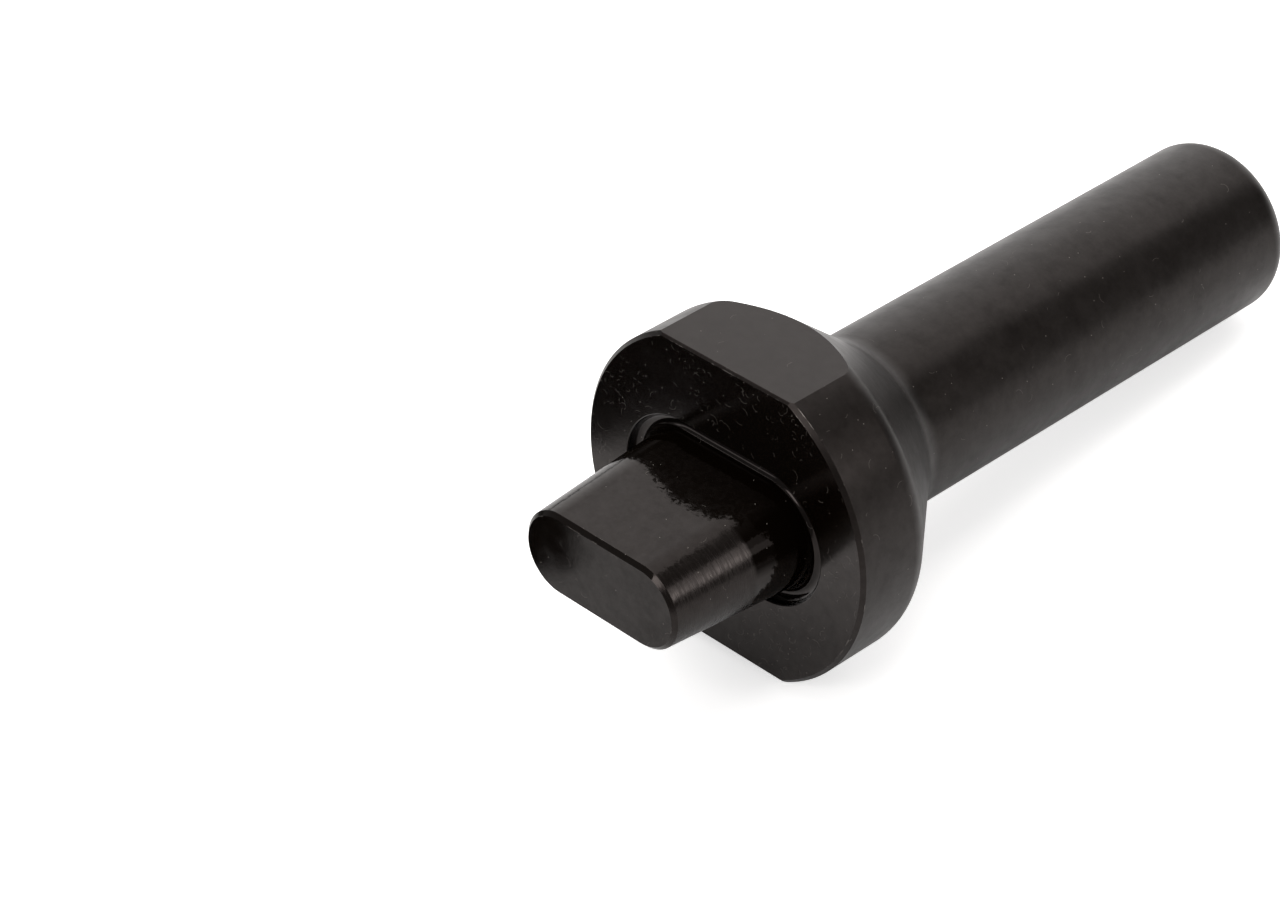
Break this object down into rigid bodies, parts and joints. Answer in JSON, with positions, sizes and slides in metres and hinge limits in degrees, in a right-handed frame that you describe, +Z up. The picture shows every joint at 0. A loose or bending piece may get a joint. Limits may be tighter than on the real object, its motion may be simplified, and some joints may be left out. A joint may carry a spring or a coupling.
{
  "type": "grommet setting punch",
  "caption": "Solid black steel punch with an oblong tapered nose, a curling groove at its root, a flange with flats, a cone and a long plain shank.",
  "frame": {"origin": "on the floor, under the centre of the bounding box of the tool as it lies", "axes": "+Y from the nose towards the struck end of the shank, +X across the tool along the long way of the nose, +Z up. The tool axis slopes down towards the struck end by 6.19 degrees, as the tool lies on its lower flat and its shank end."},
  "size_m": [0.068, 0.1712, 0.0617],
  "materials": {
    "blackened_steel": "black oxide, oiled, fine turned and milled surface"
  },
  "bodies": {
    "root": {"setting_punch": "blackened_steel"}
  },
  "joints": []
}
